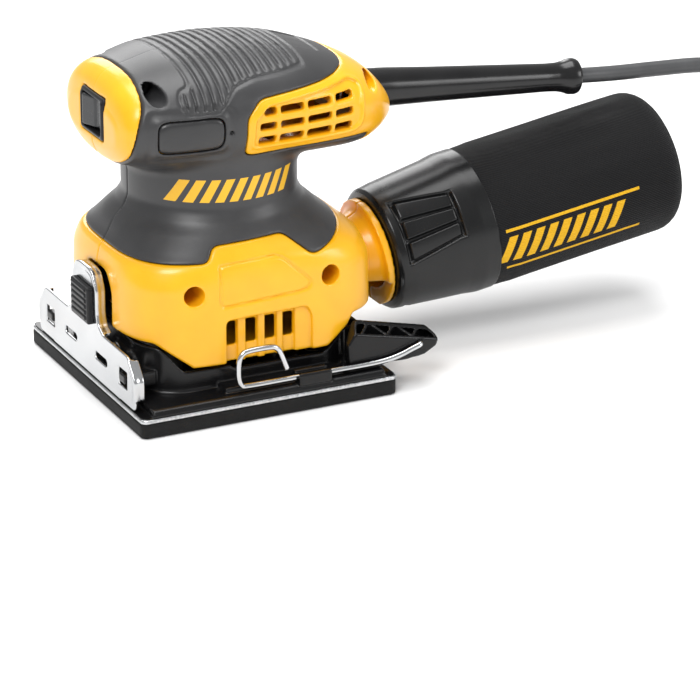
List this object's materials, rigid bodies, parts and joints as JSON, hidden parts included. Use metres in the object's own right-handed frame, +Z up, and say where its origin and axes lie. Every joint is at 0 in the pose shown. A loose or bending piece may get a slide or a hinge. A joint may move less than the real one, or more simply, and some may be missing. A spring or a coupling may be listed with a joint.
{
  "type": "orbital sander",
  "caption": "Palm-grip orbital sander for quarter sheets, with sprung paper clamps, a twist-lock dust bag and a mains cord",
  "frame": {"origin": "centre of the pad's working face", "axes": "+Z up, away from the work; +X to the rear, where the cord and the dust bag leave; +Y to the operator's right as the switch end points away"},
  "size_m": [0.3916, 0.175, 0.1358],
  "materials": {
    "yellow_housing": "satin moulded nylon, warm yellow",
    "grip_rubber": "matt dark grey overmoulded elastomer",
    "inlay_rubber": "matt near-black elastomer",
    "black_plastic": "satin black",
    "rocker_plastic": "satin black, slightly glossy",
    "sleeve_rubber": "glossy black flexible sleeve",
    "cord_rubber": "satin dark grey cable jacket",
    "pale_plastic": "natural moulded plastic",
    "dark_screw": "blackened steel",
    "bright_steel": "turned bright steel",
    "laminations": "stacked lamination edges",
    "copper": "varnished copper",
    "brass": "drawn brass",
    "carbon": "pressed carbon",
    "spring_steel": "spring wire",
    "capacitor_case": "moulded case",
    "wire_insulation": "insulated leads",
    "leg_rubber": "matt black rubber",
    "cast_alloy": "as cast",
    "platen_plastic": "satin black glass-filled nylon",
    "plate_aluminium": "rolled sheet with sheared edge",
    "pad_foam": "dense closed-cell foam",
    "polished_steel": "bright plated sheet steel",
    "lever_wire": "bright plated wire",
    "collar_plastic": "satin black moulding",
    "bag_cloth": "black woven polyester",
    "tie_nylon": "black nylon",
    "plug_rubber": "moulded black plug",
    "plated_brass": "nickel-plated brass"
  },
  "bodies": {
    "housing": {"housing_left": "yellow_housing", "housing_right": "yellow_housing", "grip_left": "grip_rubber", "grip_right": "grip_rubber", "side_inlays": "inlay_rubber", "housing_screws": "dark_screw", "switch_body": "black_plastic", "cord_sleeve": "sleeve_rubber", "cord_inner_run": "cord_rubber", "cord_clamp": "pale_plastic", "cord_clamp_screws": "bright_steel", "field_core": "laminations", "field_coils": "copper", "brush_holders": "brass", "carbon_brushes": "carbon", "brush_springs": "spring_steel", "upper_bearing": "bright_steel", "upper_bearing_boot": "grip_rubber", "lower_bearing": "bright_steel", "fan_baffle": "black_plastic", "capacitor": "capacitor_case", "motor_wires": "wire_insulation", "isolator_legs": "leg_rubber", "cord": "cord_rubber", "cord_coil": "cord_rubber", "coil_tie": "tie_nylon", "plug_body": "plug_rubber", "plug_pins": "plated_brass"},
    "rocker": {"switch_rocker": "rocker_plastic"},
    "armature": {"motor_shaft": "bright_steel", "armature_core": "laminations", "armature_windings": "copper", "commutator": "copper", "cooling_fan": "black_plastic", "eccentric": "cast_alloy", "pad_screw": "bright_steel"},
    "pad": {"platen": "platen_plastic", "pad_bearing": "bright_steel", "backing_plate": "plate_aluminium", "foam_pad": "pad_foam", "platen_screws": "bright_steel", "front_clamp_spring": "spring_steel", "rear_clamp_pin": "bright_steel"},
    "front_clamp": {"front_clamp_plate": "polished_steel", "front_clamp_grip": "black_plastic"},
    "rear_clamp": {"rear_clamp_jaw": "polished_steel"},
    "lever": {"side_lever": "lever_wire"},
    "bag_seal": {"bag_seal": "grip_rubber"},
    "dust_bag": {"bag_collar": "collar_plastic", "bag_ring": "black_plastic", "dust_bag": "bag_cloth"}
  },
  "joints": [
    {"name": "armature_spin", "type": "hinge", "parent": "housing", "child": "armature", "pos_m": [-0.0008, 0, 0.05], "axis": [0, 0, 1], "continuous": true},
    {"name": "pad_orbit", "type": "hinge", "parent": "armature", "child": "pad", "pos_m": [0, 0, 0.014], "axis": [0, 0, 1], "continuous": true, "deforming": ["isolator_legs"]},
    {"name": "rocker_tilt", "type": "hinge", "parent": "housing", "child": "rocker", "pos_m": [-0.0441, 0, 0.1125], "axis": [0, 0, 1], "range_deg": [-14, 0]},
    {"name": "front_clamp_tilt", "type": "hinge", "parent": "pad", "child": "front_clamp", "pos_m": [-0.0527, 0, 0.018], "axis": [0, 1, 0], "range_deg": [0, 16], "stiffness_Nm_per_rad": 0.9, "springref_deg": -14.32, "deforming": ["front_clamp_spring"]},
    {"name": "lever_swing", "type": "hinge", "parent": "pad", "child": "lever", "pos_m": [0.066, 0, 0.0176], "axis": [0, 1, 0], "range_deg": [0, 95]},
    {"name": "rear_clamp_tilt", "type": "hinge", "parent": "pad", "child": "rear_clamp", "pos_m": [0.066, 0, 0.0176], "axis": [0, 1, 0], "range_deg": [0, 14.5]},
    {"name": "bag_pull", "type": "slide", "parent": "housing", "child": "bag_seal", "axis": [0.9877, 0, 0.1564], "range_m": [0, 0.03]},
    {"name": "bag_twist", "type": "hinge", "parent": "bag_seal", "child": "dust_bag", "pos_m": [0.07, 0, 0.038], "axis": [0.9877, 0, 0.1564], "range_deg": [0, 30]}
  ],
  "couplings": [
    {"joint": "pad_orbit", "follows": "armature_spin", "ratio": -1},
    {"joint": "rear_clamp_tilt", "follows": "lever_swing", "ratio": 0.15}
  ]
}
